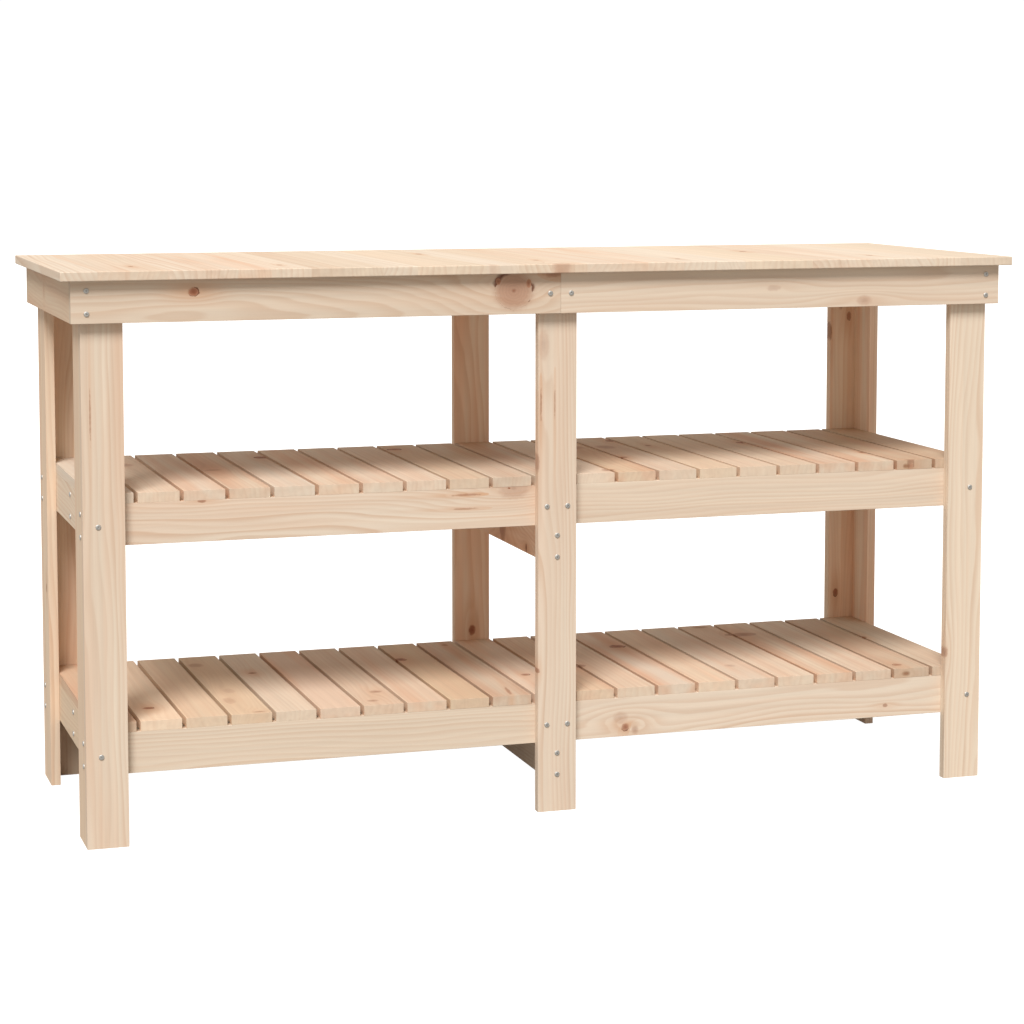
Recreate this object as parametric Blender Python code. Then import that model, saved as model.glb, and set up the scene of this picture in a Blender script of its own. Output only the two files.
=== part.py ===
"""A flat-pack pine potting bench: a worktop on ten leg boards, tied by aprons and by two slatted shelves.

Metres, +Z up. The origin is on the floor under the middle of the worktop. X runs along the bench's
length, and -Y is its front. Every board is its own object. Boards that touch keep a hairline JOINT_GAP.
"""

import bmesh
import bpy
from mathutils import Vector

# Overall size
BENCH_LENGTH = 1.425
BENCH_DEPTH = 0.500
BENCH_HEIGHT = 0.800

# Stock that the bench is cut from
BOARD_WIDTH = 0.058
BOARD_THICKNESS = 0.014
WORKTOP_THICKNESS = 0.013
EASED_EDGE = 0.0012

# How the worktop stands out past the aprons
END_OVERHANG = 0.015
FRONT_OVERHANG = 0.0145

# Shelves: the height of the slats' upper face above the floor
SHELF_HEIGHTS = {"lower": 0.172, "middle": 0.492}
SLATS_PER_SHELF = 21

# The first slat of a shelf stands alone, and the rest are tied in pairs over the rails by low webs
TIE_HEIGHT = 0.002
TIE_INSET = 0.004
TIE_REACH = 0.003

JOINT_GAP = 0.0003

SIDES = {"left": -1, "right": 1}
FACES = {"front": -1, "rear": 1}

# Planes worked out from the sizes above, as distances from the middle of the bench
APRON_X = BENCH_LENGTH / 2 - END_OVERHANG
APRON_Y = BENCH_DEPTH / 2 - FRONT_OVERHANG
LEG_X = APRON_X - BOARD_THICKNESS - JOINT_GAP
LEG_Y = APRON_Y - BOARD_THICKNESS - JOINT_GAP
RAIL_X = LEG_X - BOARD_THICKNESS - JOINT_GAP
RAIL_Y = LEG_Y - BOARD_THICKNESS - JOINT_GAP
LEG_TOP = BENCH_HEIGHT - WORKTOP_THICKNESS - JOINT_GAP


def clear_scene():
    for thing in list(bpy.data.objects):
        bpy.data.objects.remove(thing, do_unlink=True)


def wood(name, colour, roughness):
    """A plain Principled material for bare, sanded softwood."""
    material = bpy.data.materials.new(name)
    material.use_nodes = True
    shader = material.node_tree.nodes["Principled BSDF"]
    shader.inputs["Base Color"].default_value = (*colour, 1.0)
    shader.inputs["Roughness"].default_value = roughness
    shader.inputs["Metallic"].default_value = 0.0
    return material


def centred(size):
    return -size / 2, size / 2


def mirrored(side, inner, outer):
    """The span between two distances from the middle, on the side that the sign gives."""
    return tuple(sorted((side * inner, side * outer)))


def below(top, size):
    return top - size, top


def box_mesh(name, size):
    """A box of this size about its own middle, its corners at full scale so that a bevel stays even."""
    mesh = bpy.data.meshes.new(name)
    shape = bmesh.new()
    bmesh.ops.create_cube(shape, size=1.0)
    bmesh.ops.scale(shape, vec=size, verts=shape.verts)
    shape.to_mesh(mesh)
    shape.free()
    return mesh


def block(name, x, y, z, material):
    """A square-edged block between the given pairs of planes."""
    low, high = (Vector(corner) for corner in zip(x, y, z))
    piece = bpy.data.objects.new(name, box_mesh(name, high - low))
    piece.location = (low + high) / 2
    piece.data.materials.append(material)
    bpy.context.scene.collection.objects.link(piece)
    return piece


def board(name, x, y, z, material):
    """A sawn board between the given pairs of planes, with all its edges eased."""
    piece = block(name, x, y, z, material)
    edge = piece.modifiers.new("eased_edge", "BEVEL")
    edge.width = EASED_EDGE
    edge.segments = 1
    return piece


def shelf_levels(shelf_height):
    """Rail top and bearer top under slats whose upper face is at this height."""
    rail_top = shelf_height - BOARD_THICKNESS - JOINT_GAP
    return rail_top, rail_top - BOARD_WIDTH - JOINT_GAP


def make_worktop(panel):
    """One edge-glued panel, laid on the legs, the aprons and the top bearer."""
    height = (BENCH_HEIGHT - WORKTOP_THICKNESS, BENCH_HEIGHT)
    board("worktop_panel", centred(BENCH_LENGTH), centred(BENCH_DEPTH), height, panel)


def make_aprons(pine):
    """The long aprons are two boards each, butted over a middle leg. An end apron fits between them."""
    height = below(LEG_TOP, BOARD_WIDTH)
    for face, front_or_rear in FACES.items():
        y = mirrored(front_or_rear, APRON_Y - BOARD_THICKNESS, APRON_Y)
        for side, left_or_right in SIDES.items():
            x = mirrored(left_or_right, JOINT_GAP / 2, APRON_X)
            board(f"{face}_apron_{side}", x, y, height, pine)
    between = 2 * (APRON_Y - BOARD_THICKNESS - JOINT_GAP)
    for side, left_or_right in SIDES.items():
        x = mirrored(left_or_right, APRON_X - BOARD_THICKNESS, APRON_X)
        board(f"{side}_end_apron", x, centred(between), height, pine)


def make_legs(pine):
    """Each corner leg is an L of two boards. A middle leg is one board, front and rear."""
    height = (0.0, LEG_TOP)
    for face, front_or_rear in FACES.items():
        face_y = mirrored(front_or_rear, LEG_Y - BOARD_THICKNESS, LEG_Y)
        side_y = mirrored(front_or_rear, RAIL_Y - BOARD_WIDTH, RAIL_Y)
        board(f"{face}_middle_leg", centred(BOARD_WIDTH), face_y, height, pine)
        for side, left_or_right in SIDES.items():
            face_x = mirrored(left_or_right, LEG_X - BOARD_WIDTH, LEG_X)
            side_x = mirrored(left_or_right, LEG_X - BOARD_THICKNESS, LEG_X)
            board(f"{face}_{side}_leg_face_board", face_x, face_y, height, pine)
            board(f"{face}_{side}_leg_side_board", side_x, side_y, height, pine)


def make_shelf_frame(shelf, shelf_height, pine):
    """Rails in lines along the front, the rear and the middle, one across each end, and a bearer below."""
    rail_top, bearer_top = shelf_levels(shelf_height)
    height = below(rail_top, BOARD_WIDTH)
    for face, front_or_rear in FACES.items():
        y = mirrored(front_or_rear, RAIL_Y - BOARD_THICKNESS, RAIL_Y)
        for side, left_or_right in SIDES.items():
            x = mirrored(left_or_right, JOINT_GAP / 2, RAIL_X)
            board(f"{shelf}_{face}_rail_{side}", x, y, height, pine)
    between = 2 * (RAIL_Y - BOARD_THICKNESS - JOINT_GAP)
    for side, left_or_right in SIDES.items():
        x = mirrored(left_or_right, RAIL_X - BOARD_THICKNESS, RAIL_X)
        board(f"{shelf}_{side}_end_rail", x, centred(between), height, pine)
        x = mirrored(left_or_right, JOINT_GAP / 2, RAIL_X - BOARD_THICKNESS - JOINT_GAP)
        board(f"{shelf}_centre_rail_{side}", x, centred(BOARD_THICKNESS), height, pine)
    cross_bearer(f"{shelf}_cross_bearer", bearer_top, pine)


def cross_bearer(name, top, pine):
    """A board on edge between the front and the rear middle leg."""
    board(name, centred(BOARD_THICKNESS), centred(2 * RAIL_Y), below(top, BOARD_WIDTH), pine)


def slat_spans():
    """Left and right edge of every slat: the first and the last fit against the corner legs."""
    pitch = (2 * RAIL_X - BOARD_WIDTH) / (SLATS_PER_SHELF - 1)
    starts = [-RAIL_X + pitch * number for number in range(SLATS_PER_SHELF)]
    return [(start, start + BOARD_WIDTH) for start in starts]


def tie(left_slat, right_slat, gap, base):
    """Joins two slats into one body by a low web in the gap between them, over each rail."""
    x = (gap[0] - TIE_REACH, gap[1] + TIE_REACH)
    z = (base + EASED_EDGE, base + EASED_EDGE + TIE_HEIGHT)
    parts = [right_slat]
    for face, front_or_rear in FACES.items():
        y = mirrored(front_or_rear, RAIL_Y - BOARD_THICKNESS + TIE_INSET, RAIL_Y - TIE_INSET)
        parts.append(block(f"{left_slat.name}_{face}_tie", x, y, z, left_slat.data.materials[0]))
    for part in parts:
        part.hide_render = True
        part.display_type = "WIRE"
        union = left_slat.modifiers.new(f"join_{part.name}", "BOOLEAN")
        union.operation = "UNION"
        union.object = part


def make_slats(shelf, shelf_height, pine):
    """Slats front to back. The first is alone, and each two after it make a pair."""
    spans = slat_spans()
    height = below(shelf_height, BOARD_THICKNESS)
    board(f"{shelf}_slat_01", spans[0], centred(2 * RAIL_Y), height, pine)
    for number in range(2, SLATS_PER_SHELF, 2):
        left, right = spans[number - 1 : number + 1]
        pair = f"{shelf}_slats_{number:02d}_{number + 1:02d}"
        left_slat = board(pair, left, centred(2 * RAIL_Y), height, pine)
        right_slat = board(f"{pair}_partner", right, centred(2 * RAIL_Y), height, pine)
        tie(left_slat, right_slat, (left[1], right[0]), height[0])


def main():
    clear_scene()
    pine = wood("pine_board", (0.72, 0.55, 0.40), 0.55)
    panel = wood("pine_panel", (0.80, 0.62, 0.45), 0.50)
    make_worktop(panel)
    make_aprons(pine)
    make_legs(pine)
    for shelf, shelf_height in SHELF_HEIGHTS.items():
        make_shelf_frame(shelf, shelf_height, pine)
        make_slats(shelf, shelf_height, pine)
    cross_bearer("top_cross_bearer", LEG_TOP, pine)


main()
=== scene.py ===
# %% [markdown]
# # A pine potting bench, board by board
#
# The real bench is a flat-pack kit: one glued pine panel for the worktop, a stack of planed boards that
# all have the same section, and a bag of bright zinc screws. Nothing on it is painted or oiled, so what
# the eye reads is the wood itself: growth rings, knots, pale sapwood and pinker heartwood, sawn ends.
#
# This lesson loads the finished frame of the bench, lays a well made board over each plain one, drives
# the screws, and lights the whole as in a small studio.

# %% Load the frame
import math
import random

import bmesh
import bpy
import numpy as np
from mathutils import Matrix, Vector


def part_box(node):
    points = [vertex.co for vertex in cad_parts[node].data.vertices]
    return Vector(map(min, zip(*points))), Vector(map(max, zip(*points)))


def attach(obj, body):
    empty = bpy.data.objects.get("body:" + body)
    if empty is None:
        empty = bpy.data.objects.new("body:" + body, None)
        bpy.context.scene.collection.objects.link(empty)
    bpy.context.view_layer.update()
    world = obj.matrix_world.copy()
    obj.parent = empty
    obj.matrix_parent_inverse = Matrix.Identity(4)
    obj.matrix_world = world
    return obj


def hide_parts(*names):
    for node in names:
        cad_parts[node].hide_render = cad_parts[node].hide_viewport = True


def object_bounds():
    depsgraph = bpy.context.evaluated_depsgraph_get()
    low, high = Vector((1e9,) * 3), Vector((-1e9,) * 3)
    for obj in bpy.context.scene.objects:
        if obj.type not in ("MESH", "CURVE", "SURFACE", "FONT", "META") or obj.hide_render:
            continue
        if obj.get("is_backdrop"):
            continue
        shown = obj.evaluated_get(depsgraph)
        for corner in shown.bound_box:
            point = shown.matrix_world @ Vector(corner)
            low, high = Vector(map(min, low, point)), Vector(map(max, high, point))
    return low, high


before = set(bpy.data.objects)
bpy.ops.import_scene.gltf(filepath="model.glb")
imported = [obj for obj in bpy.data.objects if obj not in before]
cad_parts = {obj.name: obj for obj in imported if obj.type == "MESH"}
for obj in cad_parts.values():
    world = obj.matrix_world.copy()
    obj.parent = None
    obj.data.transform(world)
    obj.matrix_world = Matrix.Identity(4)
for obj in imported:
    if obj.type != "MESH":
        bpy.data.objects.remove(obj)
frame_low, frame_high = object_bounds()
MM = 0.001
print("the frame is", [round(side / MM, 1) for side in frame_high - frame_low], "mm")

# %% [markdown]
# ## The camera
#
# The bench is seen from a little left of its front and from a little above its worktop, through a long
# lens. A shift lens looks down at the bench without turning down as far, so that its legs stay nearly
# upright in the picture. The rest of the way the camera is tilted.

# %% Camera
CAMERA_PLACE = (-1.1854, -3.7287, 0.9895)
CAMERA_TURN = math.radians(17.66)
CAMERA_TILT = math.radians(5.044)
CAMERA_LENS = 90.93
CAMERA_SHIFT = -0.15

camera_data = bpy.data.cameras.new("studio_camera")
camera_data.lens = CAMERA_LENS
camera_data.shift_y = CAMERA_SHIFT
camera = bpy.data.objects.new("studio_camera", camera_data)
camera.location = CAMERA_PLACE
camera.rotation_euler = (math.pi / 2 - CAMERA_TILT, 0.0, -CAMERA_TURN)
bpy.context.scene.collection.objects.link(camera)
bpy.context.scene.camera = camera
print("camera", round((Vector(CAMERA_PLACE) - (frame_low + frame_high) / 2).length, 2), "m from the bench")

# %% [markdown]
# ## Colours and nodes
#
# Colours are written as sRGB hex values, as a paint chart gives them. Blender's shaders work in linear
# light, so one function converts them. A second one adds a node: a value in `inputs` is set on the
# socket, a socket in `inputs` is linked to it, and a node stands for its first output.


# %% Two helpers
def srgb(hex_value):
    channels = [int(hex_value[i : i + 2], 16) / 255 for i in (1, 3, 5)]
    linear = [c / 12.92 if c <= 0.04045 else ((c + 0.055) / 1.055) ** 2.4 for c in channels]
    return (*linear, 1.0)


def add(tree, kind, inputs=None, **settings):
    node = tree.nodes.new(kind)
    for name, value in settings.items():
        setattr(node, name, value)
    for key, value in (inputs or {}).items():
        if isinstance(value, bpy.types.Node):
            value = value.outputs[0]
        if isinstance(value, bpy.types.NodeSocket):
            tree.links.new(value, node.inputs[key])
        else:
            node.inputs[key].default_value = value
    return node


# %% [markdown]
# ## Planed pine
#
# A board is a slice of a tree, and every line on it is where the cut crosses a growth ring. So the
# material doesn't draw lines on a face. It works out how far each point lies from the pith, the middle
# of the trunk, and asks which part of a year's ring that is. The wide faces, the edges and the sawn ends
# then agree with each other, as they do on real wood.
#
# Each board tells the material its own story through a few values stored on its mesh:
#
# - `log_place`: where the point was in the trunk, as across, through and along the board, in metres;
# - `board_tone`: how honey-coloured, how pink and how light the board is, with painted light lifting the
#   shade of boards that stand in it. Pink lies in patches up to 1, and above 1 it evens out;
# - `ring_width` and `ring_contrast`: a year's growth in metres, and how strong its line is;
# - `end_cut`: 1 on a sawn end;
# - `knot_1` to `knot_5`: the way to each knot's heart, counted in the knot's own radii;
# - `knot_1_kind` to `knot_5_kind`: the knot's radius in metres, how dark it is, and how pink.

# %% Pine colours
PINE_PALE = srgb("#EBDAC6")
PINE_HONEY = srgb("#E2C29C")
PINE_PINK = srgb("#E2B798")
PINE_LATE = srgb("#C89872")
PINE_END = srgb("#E6D2BB")
PITH = srgb("#8A5A3C")
KNOT_HEART = srgb("#A8694A")
KNOT_PINK = srgb("#BC9880")
KNOT_CORE = srgb("#844426")
KNOT_RIM = srgb("#6A3C28")
KNOT_HALO = srgb("#D09A70")

# %% Pine: where the point lies in the trunk
KNOTS_PER_BOARD = 5

pine = bpy.data.materials.new("planed_pine")
pine.use_nodes = True
tree = pine.node_tree
shader = tree.nodes["Principled BSDF"]

log_place, tone = (
    add(tree, "ShaderNodeAttribute", attribute_name=name).outputs["Vector"] for name in ("log_place", "board_tone")
)
log_axes, tone_axes = (add(tree, "ShaderNodeSeparateXYZ", {0: value}) for value in (log_place, tone))
ring_width, ring_contrast, end_cut = (
    add(tree, "ShaderNodeAttribute", attribute_name=name).outputs["Fac"]
    for name in ("ring_width", "ring_contrast", "end_cut")
)

# %% [markdown]
# A trunk is never a perfect cone. A slow noise, long along the trunk and short across it, lets the rings
# wander by some millimetres over a hand's width. A finer one keeps them from looking ruled.
#
# The trunk is measured in metres, so a noise's scale is the number of its waves in a metre: 18 make one
# in 56 mm, and 70 make one in 14 mm. The third number slows them along the trunk, which draws them out.

# %% Pine: how the rings wander
SLOW_WAVES, SLOW_SWING, SLOW_ALONG = 18.0, 11 * MM, 0.16
FINE_WAVES, FINE_SWING, FINE_ALONG = 70.0, 1.6 * MM, 0.1
slow_place = add(tree, "ShaderNodeVectorMath", {0: log_place, 1: (1.0, 1.0, SLOW_ALONG)}, operation="MULTIPLY")
slow = add(tree, "ShaderNodeTexNoise", {"Vector": slow_place, "Scale": SLOW_WAVES, "Detail": 1.0})
slow_shift = add(tree, "ShaderNodeMapRange", {"Value": slow, "To Min": -SLOW_SWING, "To Max": SLOW_SWING})
fine_place = add(tree, "ShaderNodeVectorMath", {0: log_place, 1: (1.0, 1.0, FINE_ALONG)}, operation="MULTIPLY")
fine = add(tree, "ShaderNodeTexNoise", {"Vector": fine_place, "Scale": FINE_WAVES, "Detail": 2.0})
fine_shift = add(tree, "ShaderNodeMapRange", {"Value": fine, "To Min": -FINE_SWING, "To Max": FINE_SWING})
wander = add(tree, "ShaderNodeMath", {0: slow_shift, 1: fine_shift}, operation="ADD")

# %% [markdown]
# A knot is a branch that the trunk grew around, so the rings part in front of it and close behind it.
# Near a knot the lines are pushed sideways, away from its heart, and the push dies away faster across
# the board than along it. The same way to the heart, made ragged by up to 2.8 mm, later draws the knot
# itself. A small knot is less ragged than a big one, so that a thin streak isn't broken into dots. Where
# two knots are close, a point belongs to the nearer one.

# %% Pine: knots push the grain aside
PUSH, SWELL, FADE, LONG_REACH = 0.85, 0.7, -0.24, 0.4
RAGGED, RAGGED_WAVES = 2.8 * MM, 170.0
SMOOTH_RADIUS = 3 * MM
FAR = 9.0
ragged = add(tree, "ShaderNodeTexNoise", {"Vector": log_place, "Scale": RAGGED_WAVES, "Detail": 2.0})
ragged_edge = add(tree, "ShaderNodeMapRange", {"Value": ragged, "To Min": -RAGGED, "To Max": RAGGED})
push, swell, halo = 0.0, 0.0, 0.0
nearest, size, darkness, rosiness = FAR, 0.0, 0.0, 0.0
for number in range(1, KNOTS_PER_BOARD + 1):
    way = add(tree, "ShaderNodeAttribute", attribute_name=f"knot_{number}").outputs["Vector"]
    kind = add(tree, "ShaderNodeAttribute", attribute_name=f"knot_{number}_kind").outputs["Vector"]
    way_axes, kind_axes = (add(tree, "ShaderNodeSeparateXYZ", {0: value}) for value in (way, kind))
    reach = add(tree, "ShaderNodeVectorMath", {0: way, 1: (1.0, 1.0, LONG_REACH)}, operation="MULTIPLY")
    square = add(tree, "ShaderNodeVectorMath", {0: reach, 1: reach}, operation="DOT_PRODUCT")
    fading = add(tree, "ShaderNodeMath", {0: square.outputs["Value"], 1: FADE}, operation="MULTIPLY")
    hold = add(tree, "ShaderNodeMath", {0: fading}, operation="EXPONENT")
    sized = add(tree, "ShaderNodeMath", {0: hold, 1: kind_axes.outputs["X"]}, operation="MULTIPLY")
    push = add(tree, "ShaderNodeMath", {0: sized, 1: way_axes.outputs["X"], 2: push}, operation="MULTIPLY_ADD")
    swell = add(tree, "ShaderNodeMath", {0: sized, 1: SWELL, 2: swell}, operation="MULTIPLY_ADD")
    halo = add(tree, "ShaderNodeMath", {0: hold, 1: kind_axes.outputs["Y"], 2: halo}, operation="MULTIPLY_ADD")
    length = add(tree, "ShaderNodeVectorMath", {0: way}, operation="LENGTH")
    blunt = add(tree, "ShaderNodeMath", {0: kind_axes.outputs["X"], 1: SMOOTH_RADIUS}, operation="ADD")
    uneven = add(tree, "ShaderNodeMath", {0: ragged_edge, 1: blunt}, operation="DIVIDE")
    rough = add(tree, "ShaderNodeMath", {0: length.outputs["Value"], 1: uneven}, operation="ADD")
    nearer = add(tree, "ShaderNodeMath", {0: rough, 1: nearest}, operation="LESS_THAN")
    size = add(tree, "ShaderNodeMix", {0: nearer, 2: size, 3: kind_axes.outputs["X"]})
    darkness = add(tree, "ShaderNodeMix", {0: nearer, 2: darkness, 3: kind_axes.outputs["Y"]})
    rosiness = add(tree, "ShaderNodeMix", {0: nearer, 2: rosiness, 3: kind_axes.outputs["Z"]})
    nearest = add(tree, "ShaderNodeMath", {0: rough, 1: nearest}, operation="MINIMUM")

# %% Pine: the year's ring
TRUNK_TAPER = 0.01
parted = add(tree, "ShaderNodeMath", {0: push, 1: -PUSH, 2: log_axes.outputs["X"]}, operation="MULTIPLY_ADD")
flat = add(tree, "ShaderNodeCombineXYZ", {"X": parted, "Y": log_axes.outputs["Y"]})
radius = add(tree, "ShaderNodeVectorMath", {0: flat}, operation="LENGTH").outputs["Value"]
tapered = add(tree, "ShaderNodeMath", {0: log_axes.outputs["Z"], 1: TRUNK_TAPER, 2: radius}, operation="MULTIPLY_ADD")
swollen = add(tree, "ShaderNodeMath", {0: tapered, 1: swell}, operation="ADD")
wandered = add(tree, "ShaderNodeMath", {0: swollen, 1: wander}, operation="ADD")
years = add(tree, "ShaderNodeMath", {0: wandered, 1: ring_width}, operation="DIVIDE")
season = add(tree, "ShaderNodeMath", {0: years}, operation="FRACT")
year = add(tree, "ShaderNodeMath", {0: years}, operation="FLOOR")

# %% [markdown]
# In spring the tree lays down wide, pale cells, and in summer narrow, dark ones, until winter stops it
# short. So a ring darkens slowly and ends sharply. Some summers leave a faint line and some a strong
# one, which is a random number for each year.

# %% Pine: spring wood and summer wood
SPRING_ENDS, SUMMER_ENDS = 0.15, 0.88
FAINTEST_SUMMER = 0.25
rise = add(
    tree, "ShaderNodeMapRange", {"Value": season, "From Min": SPRING_ENDS, "From Max": SUMMER_ENDS},
    interpolation_type="SMOOTHSTEP",
)
stop = add(tree, "ShaderNodeMapRange", {"Value": season, "From Min": SUMMER_ENDS, "To Min": 1.0, "To Max": 0.0})
summer = add(tree, "ShaderNodeMath", {0: rise, 1: stop}, operation="MULTIPLY")
year_chance = add(tree, "ShaderNodeTexWhiteNoise", {"W": year}, noise_dimensions="1D")
strength = add(tree, "ShaderNodeMapRange", {"Value": year_chance.outputs["Value"], "To Min": FAINTEST_SUMMER})
strong = add(tree, "ShaderNodeMath", {0: strength, 1: ring_contrast}, operation="MULTIPLY")
late = add(tree, "ShaderNodeMath", {0: summer, 1: strong}, operation="MULTIPLY", use_clamp=True)

# %% [markdown]
# Colour comes in layers, from the board's own tone to what lies on it: patches of pinker wood, the
# summer lines, the long fibres that a plane leaves slightly open, the duller sawn end, and last the pith
# where a board has the middle of the trunk in it.

# %% Pine: sapwood, pink patches and summer lines
PATCH_WAVES, PATCH_ALONG = 40.0, 0.07
PATCH_SOFTNESS = 0.32
patch_place = add(tree, "ShaderNodeVectorMath", {0: log_place, 1: (1.0, 1.0, PATCH_ALONG)}, operation="MULTIPLY")
patch = add(tree, "ShaderNodeTexNoise", {"Vector": patch_place, "Scale": PATCH_WAVES, "Detail": 1.0})
pinkish = add(
    tree, "ShaderNodeMapRange",
    {"Value": patch, "From Min": 0.5 - PATCH_SOFTNESS, "From Max": 0.5 + PATCH_SOFTNESS},
    interpolation_type="SMOOTHSTEP",
)
pink_least = add(tree, "ShaderNodeMath", {0: tone_axes.outputs["Y"], 1: 1.0}, operation="SUBTRACT", use_clamp=True)
pink_patchy = add(tree, "ShaderNodeMath", {0: pinkish, 1: pink_least}, operation="MAXIMUM")
pink_share = add(tree, "ShaderNodeMath", {0: pink_patchy, 1: tone_axes.outputs["Y"]}, operation="MULTIPLY")
sapwood = add(tree, "ShaderNodeMix", {0: tone_axes.outputs["X"], 6: PINE_PALE, 7: PINE_HONEY}, data_type="RGBA")
rosy = add(tree, "ShaderNodeMix", {0: pink_share, 6: sapwood.outputs[2], 7: PINE_PINK}, data_type="RGBA")
ringed = add(tree, "ShaderNodeMix", {0: late, 6: rosy.outputs[2], 7: PINE_LATE}, data_type="RGBA")

# %% Pine: sawn ends and the pith
PITH_RADIUS = 1.6 * MM
END_DULLNESS = 0.3
dull = add(tree, "ShaderNodeMath", {0: end_cut, 1: END_DULLNESS}, operation="MULTIPLY")
sawn = add(tree, "ShaderNodeMix", {0: dull, 6: ringed.outputs[2], 7: PINE_END}, data_type="RGBA")
core = add(
    tree, "ShaderNodeMapRange",
    {"Value": radius, "From Min": PITH_RADIUS, "From Max": 3 * PITH_RADIUS, "To Min": 0.8, "To Max": 0.0},
)
pithy = add(tree, "ShaderNodeMix", {0: core, 6: sawn.outputs[2], 7: PITH}, data_type="RGBA")

# %% [markdown]
# Pine's fibres are a few hundredths of a millimetre thick, too fine to show, so they are drawn as bundles
# of a millimetre. Broader streaks, 9 mm wide, change the light from one strip of the board to the next.

# %% Pine: fibres
FIBRE_WIDTH, FIBRE_DEPTH = 1 * MM, 0.045
STREAK_WIDTH, STREAK_DEPTH = 9 * MM, 0.1
FIBRE_ALONG = 0.02
END_SMOOTHNESS, END_SHADE = 0.8, 0.08
fibre_place = add(tree, "ShaderNodeVectorMath", {0: log_place, 1: (1.0, 1.0, FIBRE_ALONG)}, operation="MULTIPLY")
fibre = add(tree, "ShaderNodeTexNoise", {"Vector": fibre_place, "Scale": 1 / FIBRE_WIDTH, "Detail": 2.0})
streak = add(tree, "ShaderNodeTexNoise", {"Vector": fibre_place, "Scale": 1 / STREAK_WIDTH, "Detail": 2.0})
fibre_depth = add(
    tree, "ShaderNodeMath", {0: end_cut, 1: -END_SMOOTHNESS * FIBRE_DEPTH, 2: FIBRE_DEPTH}, operation="MULTIPLY_ADD"
)
fibre_swing = add(tree, "ShaderNodeMapRange", {"Value": fibre, "To Min": -1.0, "To Max": 1.0})
fibre_light = add(tree, "ShaderNodeMath", {0: fibre_swing, 1: fibre_depth, 2: 1.0}, operation="MULTIPLY_ADD")
streak_light = add(
    tree, "ShaderNodeMapRange", {"Value": streak, "To Min": 1 - STREAK_DEPTH, "To Max": 1 + STREAK_DEPTH}
)
end_light = add(tree, "ShaderNodeMath", {0: end_cut, 1: -END_SHADE, 2: streak_light}, operation="MULTIPLY_ADD")
light = add(tree, "ShaderNodeMath", {0: fibre_light, 1: end_light}, operation="MULTIPLY")
lit = add(tree, "ShaderNodeMath", {0: light, 1: tone_axes.outputs["Z"]}, operation="MULTIPLY")
fibred = add(tree, "ShaderNodeHueSaturation", {"Value": lit, "Color": pithy.outputs[2]})

# %% [markdown]
# A knot has a heart of end grain with rings of its own, a dark rim of bark or resin, and a warm halo
# where resin has soaked the wood around it. A live branch leaves a pink heart with hardly any rim, and a
# dead one a brown plug with a black edge, so both mixes follow the knot's own values. In the very middle
# is the branch's own pith.

# %% Pine: the heart of a knot
KNOT_RING = 4.2 * MM
KNOT_PITH = (1.0 * MM, 4.5 * MM)
CORE_REACH = (-0.1, 0.75)
HALO_REACH = (0.06, 0.95)
HEART_REACH = (0.6, 1.15)
from_heart = add(tree, "ShaderNodeMath", {0: nearest, 1: size}, operation="MULTIPLY")
knot_wander = add(tree, "ShaderNodeMath", {0: fine_shift, 1: from_heart}, operation="ADD")
knot_years = add(tree, "ShaderNodeMath", {0: knot_wander, 1: KNOT_RING}, operation="DIVIDE")
knot_season = add(tree, "ShaderNodeMath", {0: knot_years}, operation="FRACT")
knot_line = add(tree, "ShaderNodeMapRange", {"Value": knot_season, "To Min": 1.04, "To Max": 0.92})
heart_colour = add(tree, "ShaderNodeMix", {0: rosiness, 6: KNOT_HEART, 7: KNOT_PINK}, data_type="RGBA")
heart = add(tree, "ShaderNodeHueSaturation", {"Value": knot_line, "Color": heart_colour.outputs[2]})
in_core = add(
    tree, "ShaderNodeMapRange",
    {"Value": nearest, "From Min": CORE_REACH[0], "From Max": CORE_REACH[1], "To Min": 0.9, "To Max": 0.0},
    interpolation_type="SMOOTHSTEP",
)
core_chance = add(tree, "ShaderNodeMath", {0: rosiness, 1: -1.0, 2: 1.0}, operation="MULTIPLY_ADD", use_clamp=True)
core_part = add(tree, "ShaderNodeMath", {0: in_core, 1: core_chance}, operation="MULTIPLY")
knot_pith = add(
    tree, "ShaderNodeMapRange",
    {"Value": from_heart, "From Min": KNOT_PITH[0], "From Max": KNOT_PITH[1], "To Min": 0.85, "To Max": 0.0},
)
core_share = add(tree, "ShaderNodeMath", {0: core_part, 1: knot_pith}, operation="MAXIMUM")
cored = add(tree, "ShaderNodeMix", {0: core_share, 6: heart, 7: KNOT_CORE}, data_type="RGBA")
in_halo = add(
    tree, "ShaderNodeMapRange", {"Value": halo, "From Min": HALO_REACH[0], "From Max": HALO_REACH[1], "To Max": 0.65}
)
halo_share = add(tree, "ShaderNodeMath", {0: in_halo, 1: core_chance}, operation="MULTIPLY")
in_heart = add(
    tree, "ShaderNodeMapRange",
    {"Value": nearest, "From Min": HEART_REACH[0], "From Max": HEART_REACH[1], "To Min": 1.0, "To Max": 0.0},
    interpolation_type="SMOOTHSTEP",
)
heart_share = add(tree, "ShaderNodeMath", {0: in_heart, 1: darkness}, operation="MULTIPLY", use_clamp=True)
haloed = add(tree, "ShaderNodeMix", {0: halo_share, 6: fibred, 7: KNOT_HALO}, data_type="RGBA")
hearted = add(tree, "ShaderNodeMix", {0: heart_share, 6: haloed.outputs[2], 7: cored.outputs[2]}, data_type="RGBA")

# %% [markdown]
# The rim's width, counted in the knot's radii, comes from a noise of one wave in 22 mm. So the rim is
# thick on one side of a knot and all but gone on another, and only a dark knot has one.

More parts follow.
